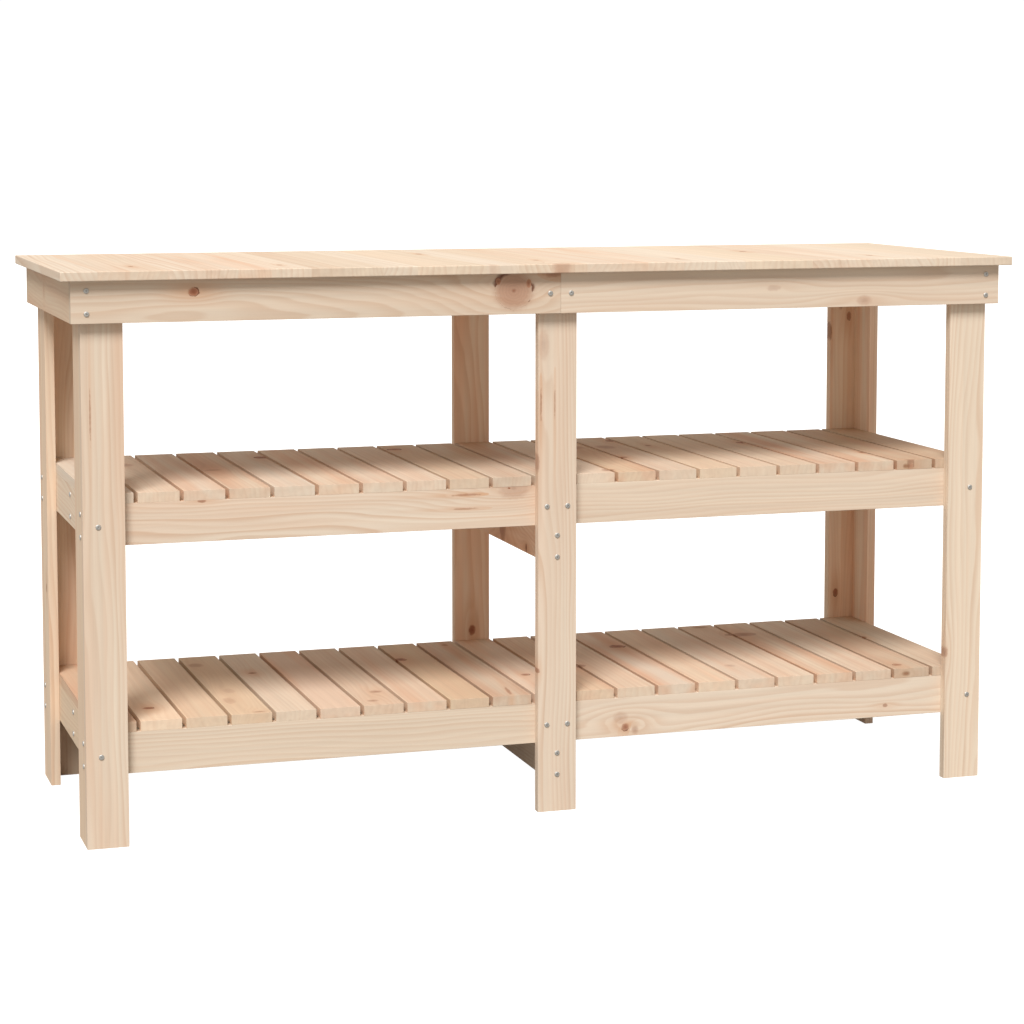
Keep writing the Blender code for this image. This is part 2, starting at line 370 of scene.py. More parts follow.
# %% Pine: the rim of a knot
RIM_WAVES = 45.0
RIM_WIDTH = (0.003, 0.24)
RIM_MIDDLE = 0.88
RIM_DARKNESS = (0.5, 0.75)
rim_noise = add(tree, "ShaderNodeTexNoise", {"Vector": log_place, "Scale": RIM_WAVES, "Detail": 1.0})
rim_width = add(
    tree, "ShaderNodeMapRange",
    {"Value": rim_noise, "From Min": 0.47, "From Max": 0.66, "To Min": RIM_WIDTH[0], "To Max": RIM_WIDTH[1]},
)
rim_way = add(tree, "ShaderNodeMath", {0: nearest, 1: RIM_MIDDLE}, operation="SUBTRACT")
rim_far = add(tree, "ShaderNodeMath", {0: rim_way}, operation="ABSOLUTE")
in_rim = add(
    tree, "ShaderNodeMapRange", {"Value": rim_far, "From Max": rim_width, "To Min": 0.9, "To Max": 0.0},
    interpolation_type="SMOOTHSTEP",
)
rimmed = add(
    tree, "ShaderNodeMapRange", {"Value": darkness, "From Min": RIM_DARKNESS[0], "From Max": RIM_DARKNESS[1]}
)
rim_share = add(tree, "ShaderNodeMath", {0: in_rim, 1: rimmed}, operation="MULTIPLY", use_clamp=True)
knotted = add(tree, "ShaderNodeMix", {0: rim_share, 6: hearted.outputs[2], 7: KNOT_RIM}, data_type="RGBA")
tree.links.new(knotted.outputs[2], shader.inputs["Base Color"])

# %% [markdown]
# Bare planed pine is matt with a slight sheen. Summer wood is denser and takes a little more polish than
# spring wood, and a sawn end none. The plane also leaves the summer lines standing proud by about a tenth
# of a millimetre, and that relief goes into the bump.

# %% Pine: sheen and relief
PINE_ROUGHNESS = 0.62
PINE_SPECULAR = 0.25
SUMMER_POLISH = 0.12
END_ROUGHNESS = 0.2
GRAIN_RELIEF = 0.12 * MM
polish = add(tree, "ShaderNodeMath", {0: late, 1: -SUMMER_POLISH, 2: PINE_ROUGHNESS}, operation="MULTIPLY_ADD")
roughness = add(tree, "ShaderNodeMath", {0: end_cut, 1: END_ROUGHNESS, 2: polish}, operation="MULTIPLY_ADD")
tree.links.new(roughness.outputs[0], shader.inputs["Roughness"])
shader.inputs["Specular IOR Level"].default_value = PINE_SPECULAR
relief = add(tree, "ShaderNodeMath", {0: fibre, 1: 0.5, 2: late}, operation="MULTIPLY_ADD")
bump = add(tree, "ShaderNodeBump", {"Height": relief, "Strength": 1.0, "Distance": GRAIN_RELIEF})
tree.links.new(bump.outputs[0], shader.inputs["Normal"])
print("planed pine has", len(tree.nodes), "nodes")

# %% [markdown]
# ## Zinc screws
#
# The screws are steel with a thin bright zinc coat, which is pale grey and a rather soft mirror. A metal's
# colour is its reflection, so the base colour is pale and the metallic value is 1. The coat's crystals and
# the driver's scuffs show as a fine change of colour and roughness.

# %% Zinc
ZINC = srgb("#CFCDC9")
SCUFF_SIZE = 0.6 * MM

zinc = bpy.data.materials.new("bright_zinc")
zinc.use_nodes = True
zinc_tree = zinc.node_tree
zinc_shader = zinc_tree.nodes["Principled BSDF"]
zinc_shader.inputs["Metallic"].default_value = 1.0
zinc_place = add(zinc_tree, "ShaderNodeTexCoord").outputs["Object"]
scuff = add(zinc_tree, "ShaderNodeTexNoise", {"Vector": zinc_place, "Scale": 1 / SCUFF_SIZE, "Detail": 3.0})
zinc_rough = add(zinc_tree, "ShaderNodeMapRange", {"Value": scuff, "To Min": 0.48, "To Max": 0.68})
zinc_value = add(zinc_tree, "ShaderNodeMapRange", {"Value": scuff, "To Min": 0.85, "To Max": 1.1})
zinc_tone = add(zinc_tree, "ShaderNodeHueSaturation", {"Value": zinc_value, "Color": ZINC})
zinc_tree.links.new(zinc_rough.outputs[0], zinc_shader.inputs["Roughness"])
zinc_tree.links.new(zinc_tone.outputs[0], zinc_shader.inputs["Base Color"])

# %% [markdown]
# ## A planed board
#
# Every board leaves the same planer, which rounds its four long edges. The cross-cut saw then leaves the
# ends square, and sanding just breaks their edges. So a board starts as a block of the size that the
# frame gives, its long edges get a rounding of three facets, and its ends a narrow chamfer.
#
# The rounding is shaded smooth and the flat faces stay flat. If all of it were smooth, the wide faces
# would look swollen.


# %% Making a block, copying it and choosing its edges
def deselect():
    bpy.ops.object.select_all(action="DESELECT")


def block(name, low, high):
    deselect()
    bpy.ops.mesh.primitive_cube_add(size=1.0, location=(low + high) / 2, scale=high - low)
    piece = bpy.context.object
    piece.name = piece.data.name = name
    bpy.ops.object.transform_apply(location=True, rotation=True, scale=True)
    return piece


def copy_of(piece, name):
    copy = piece.copy()
    copy.data = piece.data.copy()
    copy.name = copy.data.name = name
    bpy.context.scene.collection.objects.link(copy)
    return copy


def pick_edges(piece, wanted):
    bpy.ops.mesh.select_all(action="DESELECT")
    shape = bmesh.from_edit_mesh(piece.data)
    for edge in shape.edges:
        edge.select_set(wanted(*(vert.co for vert in edge.verts)))
    bmesh.update_edit_mesh(piece.data)


def pick_faces(piece, wanted):
    bpy.ops.mesh.select_all(action="DESELECT")
    shape = bmesh.from_edit_mesh(piece.data)
    for face in shape.faces:
        face.select_set(wanted(face))
    bmesh.update_edit_mesh(piece.data)


# %% Easing the edges of a board
LONG_ROUNDING = 0.45 * MM
END_CHAMFER = 0.2 * MM
SAME_PLANE = 0.01 * MM


def smooth_roundings(piece):
    pick_faces(piece, lambda face: max(abs(side) for side in face.normal) < 0.999)
    bpy.ops.mesh.faces_shade_smooth()


def ease_board(piece, low, high, along):
    bpy.ops.object.mode_set(mode="EDIT")
    pick_edges(piece, lambda a, b: abs(a[along] - b[along]) > SAME_PLANE)
    bpy.ops.mesh.bevel(offset=LONG_ROUNDING, segments=3, affect="EDGES")
    for end in (low[along], high[along]):
        pick_edges(piece, lambda a, b: max(abs(a[along] - end), abs(b[along] - end)) < SAME_PLANE)
        bpy.ops.mesh.bevel(offset=END_CHAMFER, segments=1, affect="EDGES")
    smooth_roundings(piece)
    bpy.ops.object.mode_set(mode="OBJECT")


# %% [markdown]
# ## Giving a board its wood
#
# The values that the pine material reads are stored for each corner of each face. They change evenly
# along the board, so Blender's blending between corners is exact.
#
# A board is told where the pith was, as across and through from its own middle. With the pith far behind
# its face the board is flat-sawn, and its lines are wide and arched. With the pith far to one side it is
# quarter-sawn, and its lines are narrow and straight. A knot is told as across and along from the
# board's lower left corner, with its radius both ways, so that a slanting branch can leave a long oval.


# %% Tones of the boards that are seen most: how honey-coloured, how pink and how light, with painted light on the boards in shade
BOARD_TONES_AND_LIFTED_SHADE = {
    "front_apron_left": (0.11, 0.2, 0.86),
    "front_apron_right": (0.07, 0.21, 0.89),
    "left_end_apron": (0.46, 0.71, 0.91),
    "front_left_leg_face_board": (0.08, 0.49, 0.91),
    "front_middle_leg": (0.01, 0.32, 0.91),
    "front_right_leg_face_board": (0.15, 0.0, 0.96),
    "front_left_leg_side_board": (0.39, 0.33, 0.97),
    "rear_left_leg_side_board": (0.34, 0.27, 0.99),
    "middle_front_rail_left": (0, 0.45, 0.92),
    "middle_front_rail_right": (0.09, 0.21, 0.91),
    "lower_front_rail_left": (0.13, 0.05, 0.89),
    "lower_front_rail_right": (0.0, 0.15, 0.93),
    "lower_left_end_rail": (0.53, 0.0, 0.93),
    "middle_left_end_rail": (0.25, 0.06, 0.98),
    # The rear legs and the bearer stand in shade: their extra pink and their light above 1 are painted warm light
    # that lifts their shade.
    "rear_middle_leg": (0, 0.9, 1.15),
    "rear_right_leg_face_board": (0.21, 0.68, 1.2),
    "rear_right_leg_side_board": (0, 0.89, 1.2),
    "middle_cross_bearer": (0.1, 1.0, 1.2),
    "rear_left_leg_face_board": (0.3, 0.7, 0.99),
}


# %% Reading corners and storing values on them
def corner_places(mesh):
    places = np.empty(3 * len(mesh.vertices), np.float32)
    mesh.vertices.foreach_get("co", places)
    corners = np.empty(len(mesh.loops), np.int32)
    mesh.loops.foreach_get("vertex_index", corners)
    return places.reshape(-1, 3)[corners].astype(float)


def corner_faces(mesh):
    """For each corner, its face's normal and its face's middle."""
    corners = [face.loop_total for face in mesh.polygons]
    return (np.repeat([face.normal[:] for face in mesh.polygons], corners, axis=0),
            np.repeat([face.center[:] for face in mesh.polygons], corners, axis=0))


def store(mesh, name, values):
    kind, field = ("FLOAT_VECTOR", "vector") if values.ndim == 2 else ("FLOAT", "value")
    layer = mesh.attributes.new(name, kind, "CORNER")
    layer.data.foreach_set(field, np.ascontiguousarray(values, np.float32).ravel())


# %% What a board's wood is like
NO_KNOT = 99.0
LOG_LENGTH = 8000


def knot(across, along, radius, long_radius, dark, pink=0.0, lean=0.0):
    return dict(across=across, along=along, radius=radius, long_radius=long_radius, dark=dark, pink=pink, lean=lean)


def wood(chance, **known):
    """A board's wood, in millimetres, with a fair guess for whatever isn't known about it."""
    guess = dict(
        pith=(chance.choice((-1, 1)) * chance.uniform(25, 60), chance.choice((-1, 1)) * chance.uniform(45, 80)),
        start=chance.uniform(0, LOG_LENGTH),
        tone=(chance.uniform(0.05, 0.6), chance.uniform(0.1, 0.5), chance.uniform(0.9, 0.97)),
        ring=chance.uniform(3.8, 5.4),
        contrast=chance.uniform(0.3, 0.55),
        knots=(),
    )
    return {**guess, **known}


# %% The values for each corner
def wood_values(spots, low, high, axes, grown):
    """The material's values at these spots of a board, whose axes are those across, through and along it."""
    across, through, along = (spots[:, axis] - low[axis] for axis in axes)
    width, depth = ((high - low)[axis] for axis in axes[:2])
    pith_across, pith_through = (MM * place for place in grown["pith"])
    every = np.ones(len(spots))
    from_pith = (across - width / 2 - pith_across, through - depth / 2 - pith_through, along + MM * grown["start"])
    values = {
        "log_place": np.stack(from_pith, axis=1),
        "board_tone": np.outer(every, grown["tone"]),
        "ring_width": every * grown["ring"] * MM,
        "ring_contrast": every * grown["contrast"],
    }
    for number in range(1, KNOTS_PER_BOARD + 1):
        way, kind = np.outer(every, (NO_KNOT,) * 3), np.outer(every, (0, 0, 0))
        if number <= len(grown["knots"]):
            branch = grown["knots"][number - 1]
            past = along - MM * branch["along"]
            beside = across - MM * branch["across"] - branch["lean"] * past
            way = np.stack((beside / branch["radius"] / MM, 0 * past, past / branch["long_radius"] / MM), axis=1)
            kind = np.outer(every, (branch["radius"] * MM, branch["dark"], branch["pink"]))
        values[f"knot_{number}"], values[f"knot_{number}_kind"] = way, kind
    return values


# %% Laying a board over its plain one
SAWN_NORMAL = 0.6


def board_axes(low, high):
    """Across, through and along: a board is longest along the grain and thinnest through it."""
    through, across, along = sorted(range(3), key=lambda axis: (high - low)[axis])
    return across, through, along


def give_wood(piece, low, high, axes, grown):
    mesh = piece.data
    for name, values in wood_values(corner_places(mesh), low, high, axes, grown).items():
        store(mesh, name, values)
    normals, _ = corner_faces(mesh)
    store(mesh, "end_cut", (np.abs(normals[:, axes[2]]) > SAWN_NORMAL).astype(float))


def hand_over(piece, node, material):
    piece.data.materials.append(material)
    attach(piece, "root")
    if node:
        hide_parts(node)


def lay_board(node, **known):
    low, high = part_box(node)
    axes = board_axes(low, high)
    piece = block(f"{node}_pine", low, high)
    ease_board(piece, low, high, axes[2])
    if node in BOARD_TONES_AND_LIFTED_SHADE:
        known["tone"] = BOARD_TONES_AND_LIFTED_SHADE[node]
    give_wood(piece, low, high, axes, wood(random.Random(node), **known))
    hand_over(piece, node, pine)


# %% [markdown]
# ## Aprons
#
# Under the worktop runs a belt of boards on edge: two in a line at the front, two at the rear and one at
# each end. They carry the panel's edge, and the screws through their ends hold the legs. The front pair
# is seen most, so its knots are placed one by one. The biggest is a whole live branch, as wide as the
# board.

# %% Aprons
APRON_KNOTS = {
    "front_apron_left": (
        knot(34, 627, 30, 32, 0.85, pink=0.75),
        knot(41, 168, 7, 8, 0.9, pink=0.1),
        knot(57, 686, 6, 18, 0.48, pink=0.3),
        knot(43, 649, 8, 5, 0.8, pink=0.2),
        knot(47, 604, 6, 5, 0.8, pink=0.1),
    ),
    "front_apron_right": (knot(9, 475, 8, 13, 0.4, pink=0.7), knot(30, 330, 5, 12, 0.25, pink=0.6)),
    "left_end_apron": (knot(28, 257, 14, 3, 0.4, pink=0.3),),
    "rear_apron_left": (knot(20, 210, 6, 8, 0.8), knot(40, 520, 4, 6, 0.7)),
    "rear_apron_right": (knot(38, 150, 8, 10, 0.7, pink=0.6),),
}
aprons = [f"{face}_apron_{side}" for face in ("front", "rear") for side in ("left", "right")]
aprons += ["left_end_apron", "right_end_apron"]
for node in aprons:
    lay_board(node, knots=APRON_KNOTS.get(node, ()))
print(len(aprons), "aprons")

# %% [markdown]
# ## Legs
#
# A corner leg is two boards in an L, which is stiff both ways and stands no thicker than the rest. A
# middle leg is one board. Their grain is quiet, in long upright bands, which is why straight boards were
# chosen for them at the mill.

# %% Legs
LEG_KNOTS = {
    "front_middle_leg": (
        knot(8, 683, 9, 24, 0.32, pink=0.8), knot(4, 598, 1.4, 26, 0.48), knot(25, 598, 1.1, 24, 0.4),
        knot(0, 513, 2, 14, 0.42, pink=0.2), knot(0, 209, 3, 4, 0.6),
    ),
    "front_left_leg_face_board": (knot(12, 602, 1.2, 38, 0.45),),
    "front_right_leg_face_board": (knot(0, 196, 5, 9, 0.5, pink=0.4),),
    "rear_middle_leg": (knot(29, 188, 6, 9, 0.9),),
    "rear_right_leg_face_board": (
        knot(14, 214, 5, 7, 0.85), knot(33, 680, 4, 8, 0.65), knot(18, 703, 5, 13, 0.4, pink=0.2),
        knot(0, 655, 3, 15, 0.6),
    ),
    "rear_left_leg_face_board": (knot(16, 385, 5, 7, 0.6, pink=0.3),),
    "rear_left_leg_side_board": (knot(20, 300, 4, 7, 0.7),),
    "front_right_leg_side_board": (knot(36, 560, 5, 7, 0.7),),
}
legs = ["front_middle_leg", "rear_middle_leg"]
legs += [
    f"{face}_{side}_leg_{half}_board"
    for face in ("front", "rear") for side in ("left", "right") for half in ("face", "side")
]
for node in legs:
    lay_board(node, knots=LEG_KNOTS.get(node, ()))
print(len(legs), "leg boards")

# %% [markdown]
# ## Shelf frames
#
# Each shelf rests on a frame behind the legs: rails in lines along the front, the rear and the middle, a
# rail at each end, and a bearer under them that ties the two middle legs.

# %% Rails and bearers
RAIL_KNOTS = {
    "middle_front_rail_left": (
        knot(56, 608, 17, 26, 0.48, pink=0.7),
        knot(56, 601, 4, 8, 0.9),
        knot(49, 537, 1.8, 22, 0.42),
        knot(29, 534, 1.4, 20, 0.38),
        knot(57, 153, 2.5, 6, 0.6),
    ),
    "lower_front_rail_right": (
        knot(13, 111, 6, 6.5, 0.8, pink=0.3), knot(8, 126, 7, 6, 0.45, pink=0.8),
        knot(28, 103, 10, 12, 0.3, pink=0.5), knot(17, 532, 3, 4.5, 0.55, pink=0.2),
    ),
    "middle_cross_bearer": (knot(30, 227, 40, 16, 0.6), knot(8, 110, 7, 4, 0.85)),
    "lower_rear_rail_left": (knot(25, 300, 6, 8, 0.8),),
    "middle_rear_rail_right": (knot(36, 420, 5, 8, 0.8), knot(12, 180, 4, 6, 0.7)),
}
rails = [
    f"{shelf}_{face}_rail_{side}"
    for shelf in ("lower", "middle") for face in ("front", "rear") for side in ("left", "right")
]
rails += [
    f"{shelf}_{place}" for shelf in ("lower", "middle")
    for place in ("left_end_rail", "right_end_rail", "centre_rail_left", "centre_rail_right")
]
rails += ["lower_cross_bearer", "middle_cross_bearer", "top_cross_bearer"]
for node in rails:
    lay_board(node, knots=RAIL_KNOTS.get(node, ()))
print(len(rails), "rails and bearers")

# %% [markdown]
# ## Slats
#
# A shelf is twenty-one slats with narrow gaps between them, so that soil and water fall through. In the
# frame most slats share a node with a neighbour, but on the real bench each one is loose, and so it is
# here. One slat is shaped, and the others are copies of it, moved to their places. They are let down by
# the hairline that the frame leaves above the rails, so that no light shows there.
#
# Each slat then gets wood of its own. The pith lies far to one side, which makes straight, quiet lines.
# Only two slats come from the middle of the trunk, and they show the pith. They and the slats beside the
# legs are darker, partly by their own wood and partly by painted shade.

# %% Knots and tones of the slats, counted from the left, with painted shade in the darkest tones
SLAT_KNOTS = {
    "middle": {
        2: (knot(30, 300, 14, 20, 0.35),),
        4: (knot(16, 204, 14, 9, 0.42, pink=0.2),),
        5: (knot(51, 327, 11, 12, 0.85),),
        9: (knot(15, 361, 12, 12, 0.8),),
        12: (knot(57, 28, 9, 12, 0.6, pink=0.4),),
        13: (knot(0, 30, 6, 10, 0.5, pink=0.4), knot(30, 300, 20, 24, 0.45)),
        14: (knot(55, 364, 8, 12, 0.85), knot(2, 161, 7, 6, 0.8), knot(20, 290, 16, 24, 0.4)),
        15: (knot(27, 289, 5, 8, 0.6),),
        17: (knot(53, 279, 8, 9, 0.9),),
        19: (knot(57, 106, 7, 8, 0.75),),
        20: (knot(23, 3, 9, 4, 0.6, pink=0.3),),
    },
    "lower": {
        2: (knot(24, 79, 9, 7, 0.85),),
        4: (
            knot(28, 156, 9, 18, 0.2, pink=0.2), knot(15, 91, 9, 22, 0.3, pink=0.3),
            knot(42, 9, 10, 5, 0.49, pink=0.5), knot(15, 350, 12, 16, 0.4),
        ),
        5: (knot(22, 268, 7, 6, 0.75),),
        7: (knot(39, 86, 10, 9, 0.6, pink=0.5), knot(20, 29, 9, 7, 0.55, pink=0.6)),
        9: (knot(6, 297, 10, 11, 0.85),),
        10: (knot(39, 385, 6, 9, 0.5), knot(33, 32, 3, 30, 0.49, lean=0.13)),
        11: (knot(28, 132, 8, 7, 0.75, pink=0.3),),
        12: (knot(57, 164, 8, 9, 0.6),),
        13: (knot(0, 169, 10, 10, 0.6, pink=0.2),),
        14: (knot(41, 291, 14, 12, 0.85),),
        16: (knot(27, 100, 9, 10, 0.35, pink=0.8),),
        17: (knot(56, 324, 9, 8, 0.6), knot(32, 398, 14, 9, 0.5)),
        18: (knot(16, 322, 22, 15, 0.58, pink=0.1),),
        20: (knot(18, 28, 8, 8, 0.7, pink=0.3),),
        21: (knot(-3, 243, 7, 8, 0.7),),
    },
}
HEART_SLATS = {("lower", 20): (-10, -1), ("middle", 20): (-9, -2)}
SETTLE = 0.25 * MM
# Light values of 0.80 to 0.86, on the slats at the shelf ends and beside the middle leg, are partly painted shade of
# the legs beside them.
SLAT_TONES_AND_PAINTED_SHADE = {
    "middle": (
        (0, 0.26, 0.91), (0.21, 0.51, 1.01), (0.04, 0.81, 0.97), (0.26, 1.03, 0.94), (0, 0.4, 0.95),
        (0.28, 0.9, 1.0), (0.1, 0.61, 0.97), (0.05, 0.44, 0.98), (0.42, 0.37, 0.92), (0.15, 0.56, 0.86),
        (0.17, 0.96, 0.85), (0.04, 0.18, 1.01), (0.64, 1.11, 0.97), (0.15, 0.41, 0.94), (0.45, 0.3, 0.97),
        (0.24, 0.33, 0.97), (0.27, 0.29, 0.94), (0.07, 1.04, 0.94), (0.28, 0.92, 0.93), (0.62, 1.03, 0.8),
        (0.65, 0.77, 0.8),
    ),
    "lower": (
        (0.62, 1.35, 0.86), (0.45, 0.34, 1.1), (0.58, 0.35, 0.98), (0.64, 0.06, 0.98), (0.2, 0.19, 0.97),
        (0, 1.35, 0.97), (0.25, 0.53, 0.94), (0.24, 0.89, 0.96), (0.75, 0.39, 0.9), (0.26, 1.07, 0.84),
        (0.07, 0.87, 0.98), (0.6, 0.7, 0.98), (0.25, 0.42, 0.97), (0, 1.09, 0.95), (0.38, 0.7, 1.02),
        (0.09, 0.8, 0.96), (0.21, 0.53, 0.98), (0.28, 0.94, 0.96), (0.18, 0.6, 0.92), (0.45, 1.0, 0.8),
        (0.36, 0.43, 0.84),
    ),
}


# %% Where the slats go
def slat_places(shelf):
    """The left and right plane of every slat and its node, from left to right."""
    low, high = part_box(f"{shelf}_slat_01")
    width = high.x - low.x
    places = []
    for node in sorted(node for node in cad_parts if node.startswith(f"{shelf}_slat")):
        low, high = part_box(node)
        places.append((low.x, low.x + width, node))
        if "slats" in node:
            places.append((high.x - width, high.x, node))
    return sorted(places)


# %% Slats
for shelf, knots in SLAT_KNOTS.items():
    first_low, first_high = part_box(f"{shelf}_slat_01")
    first_low.z -= SETTLE
    axes = board_axes(first_low, first_high)
    pattern = block(f"{shelf}_slat_pattern", first_low, first_high)
    ease_board(pattern, first_low, first_high, axes[2])
    for number, (left, right, node) in enumerate(slat_places(shelf), 1):
        slat = copy_of(pattern, f"{shelf}_shelf_slat_{number:02d}")
        slat.data.transform(Matrix.Translation((left - first_low.x, 0, 0)))
        low, high = Vector((left, *first_low.yz)), Vector((right, *first_high.yz))
        chance = random.Random(slat.name)
        known = dict(
            knots=knots.get(number, ()),
            pith=(chance.choice((-1, 1)) * chance.uniform(70, 140), chance.uniform(-30, 30)),
            ring=chance.uniform(5, 10),
            contrast=chance.uniform(0.1, 0.32),
            tone=SLAT_TONES_AND_PAINTED_SHADE[shelf][number - 1],
        )
        if (shelf, number) in HEART_SLATS:
            known["pith"] = HEART_SLATS[shelf, number]
        give_wood(slat, low, high, axes, wood(chance, **known))
        hand_over(slat, node, pine)
    bpy.data.objects.remove(pattern, do_unlink=True)
    print(number, "slats on the", shelf, "shelf")

# %% [markdown]
# ## The worktop
#
# The panel is glued up from narrow staves that run from front to back, each turned against its
# neighbours so that the panel stays flat. The joints are planed away, and what is left to see is that
# tone and grain change from stave to stave, most of all on the front edge, where the ends show their
# rings. So the panel is one solid: its edges are eased first, then a row of cuts divides its faces at
# the joints, and each stave gets wood of its own. A stave past the end of the list of tones gets a guess.

# %% Knots on the worktop, measured from its middle, and tones of its staves from the left
PANEL_KNOTS = (
    knot(-599, -134, 4, 8, 0.7), knot(-392, -156, 4, 7, 0.6), knot(-118, 96, 5, 9, 0.7),
    knot(-106, -246, 8, 5, 0.25, pink=0.6), knot(-5, -136, 4, 8, 0.6), knot(207, -162, 4, 8, 0.6),
    knot(523, -151, 4, 8, 0.6), knot(388, 22, 6, 9, 0.7), knot(-3, -247, 15, 9, 0.45, pink=0.5),
)
KNOT_PAST_JOINT = 8
STAVE_WIDTH = (40, 58)
WIDEST_LAST = 1.6
STAVE_TONES = (
    (0, 0.17, 0.95), (0.11, 0.51, 0.96), (0.18, 0.39, 0.96), (0, 0.45, 0.99), (0, 0.63, 0.97), (0, 0.77, 1.01),
    (0.06, 0.19, 1.0), (0.26, 0.45, 0.92), (0.21, 0.09, 0.95), (0.03, 0.0, 0.97), (0.25, 0.09, 1.0),
    (0.27, 0.0, 0.97), (0, 0.09, 0.96), (0.22, 0.11, 0.98), (0.19, 0.41, 0.99), (0, 0.41, 0.98),
    (0.08, 0.73, 0.99), (0.06, 0.68, 1.0), (0.01, 0.01, 0.99), (0, 0.0, 0.99), (0.25, 0.0, 1.02),
    (0.31, 0.0, 0.99), (0, 0.49, 0.98), (0, 0.42, 1.01), (0, 0.33, 0.99), (0, 0.0, 1.0), (0.14, 0.0, 1.02),
    (0.19, 0.0, 0.95),
)
PANEL_ROUNDING = 1.1 * MM

# %% The panel and its staves
low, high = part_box("worktop_panel")
panel = block("worktop_staves", low, high)
bpy.ops.object.mode_set(mode="EDIT")
bpy.ops.mesh.select_all(action="SELECT")
bpy.ops.mesh.bevel(offset=PANEL_ROUNDING, segments=2, affect="EDGES")
smooth_roundings(panel)

chance = random.Random("worktop")
joints = [low.x]
while high.x - joints[-1] > STAVE_WIDTH[1] * MM * WIDEST_LAST:
    joints.append(joints[-1] + chance.uniform(*STAVE_WIDTH) * MM)
joints.append(high.x)
for joint in joints[1:-1]:
    bpy.ops.mesh.select_all(action="SELECT")
    bpy.ops.mesh.bisect(plane_co=(joint, 0, 0), plane_no=(1, 0, 0))
bpy.ops.object.mode_set(mode="OBJECT")
print(len(joints) - 1, "staves")

# %% Wood for each stave
axes = (0, 2, 1)
spots = corner_places(panel.data)
normals, middles = corner_faces(panel.data)
# The end faces lie on the outermost joints, so they are counted a hair inside them.
face_x = np.clip(middles[:, 0], low.x + SAME_PLANE, high.x - SAME_PLANE)
panel_values = {}
for number, (left, right) in enumerate(zip(joints, joints[1:])):
    inside = (face_x >= left) & (face_x < right)
    stave_low, stave_high = Vector((left, low.y, low.z)), Vector((right, high.y, high.z))
    near = [
        {**branch, "across": branch["across"] - left / MM, "along": branch["along"] - low.y / MM}
        for branch in PANEL_KNOTS
        if left / MM - KNOT_PAST_JOINT < branch["across"] < right / MM + KNOT_PAST_JOINT
    ]
    grown = wood(
        chance,
        knots=near,
        pith=(chance.choice((-1, 1)) * chance.uniform(60, 130), chance.uniform(-40, 40)),
        ring=chance.uniform(5, 10),
        contrast=chance.uniform(0.2, 0.42),
        tone=(chance.uniform(0.1, 0.7), chance.uniform(0.0, 0.7), chance.uniform(1.03, 1.09)),
    )
    if number < len(STAVE_TONES):
        grown["tone"] = STAVE_TONES[number]
    for name, values in wood_values(spots[inside], stave_low, stave_high, axes, grown).items():
        whole = panel_values.setdefault(name, np.zeros((len(spots), *values.shape[1:])))
        whole[inside] = values
panel_values["end_cut"] = (np.abs(normals[:, 1]) > SAWN_NORMAL).astype(float)
for name, values in panel_values.items():
    store(panel.data, name, values)
hand_over(panel, "worktop_panel", pine)

# %% [markdown]
# ## The screws
#
# One is turned from a cylinder: its upper rim is rounded over in four steps, and the recess is cut by a
# cross of two tapered bars. Every other screw is a copy with a turn of its own, since nobody stops the
# driver at the same angle twice.

# %% One screw, standing on z = 0
HEAD_RADIUS = 3.9 * MM
HEAD_HEIGHT = 1.7 * MM
HEAD_ROUNDING = 1.3 * MM
RECESS_LENGTH = 4.6 * MM
RECESS_WIDTH = 1.0 * MM
RECESS_DEPTH = 1.1 * MM
RECESS_FLOOR = HEAD_HEIGHT - RECESS_DEPTH

deselect()
bpy.ops.mesh.primitive_cylinder_add(
    vertices=24, radius=HEAD_RADIUS, depth=HEAD_HEIGHT, location=(0, 0, HEAD_HEIGHT / 2)
)
screw = bpy.context.object
bpy.ops.object.transform_apply(location=True, rotation=True, scale=True)
bpy.ops.object.mode_set(mode="EDIT")
pick_edges(screw, lambda a, b: min(a.z, b.z) > HEAD_HEIGHT - SAME_PLANE)
bpy.ops.mesh.bevel(offset=HEAD_ROUNDING, segments=4, affect="EDGES")
bpy.ops.object.mode_set(mode="OBJECT")

# %% The cross recess
RECESS_TAPER = 0.5
SMOOTH_ANGLE = math.radians(35)
for bar_size in ((RECESS_LENGTH, RECESS_WIDTH), (RECESS_WIDTH, RECESS_LENGTH)):
    half = Vector((*bar_size, 0)) / 2
    bar = block("recess_bar", Vector((0, 0, RECESS_FLOOR)) - half, Vector((0, 0, HEAD_HEIGHT + 1 * MM)) + half)
    bpy.ops.object.mode_set(mode="EDIT")
    pick_faces(bar, lambda face: face.normal.z < -0.9)
    bpy.ops.transform.resize(value=(RECESS_TAPER, RECESS_TAPER, 1.0), center_override=(0, 0, RECESS_FLOOR))
    bpy.ops.object.mode_set(mode="OBJECT")
    deselect()
    screw.select_set(True)
    bpy.context.view_layer.objects.active = screw
    cut = screw.modifiers.new("recess", "BOOLEAN")
    cut.operation, cut.solver, cut.object = "DIFFERENCE", "EXACT", bar
    bpy.ops.object.modifier_apply(modifier=cut.name)
    bpy.data.objects.remove(bar, do_unlink=True)
bpy.ops.object.shade_smooth_by_angle(angle=SMOOTH_ANGLE)
print("a screw head has", len(screw.data.polygons), "faces")

# %% [markdown]
# The frame gives the faces that the screws stand on, and the middle of each rail, apron and bearer. Two
# screws side by side or one over the other are about 16 mm each way from such a middle. Only the front
# left ones are listed: the others mirror them. A label with `side` at its end is for a bench end.

# %% Where the screws go
PAIR_BESIDE, PAIR_ABOVE, SIDE_ABOVE = 15.7 * MM, 15.8 * MM, 16 * MM
CORNER_IN, FACE_BOARD_IN = 7 * MM, 21 * MM


def middle_z(node):
    return sum(corner.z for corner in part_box(node)) / 2


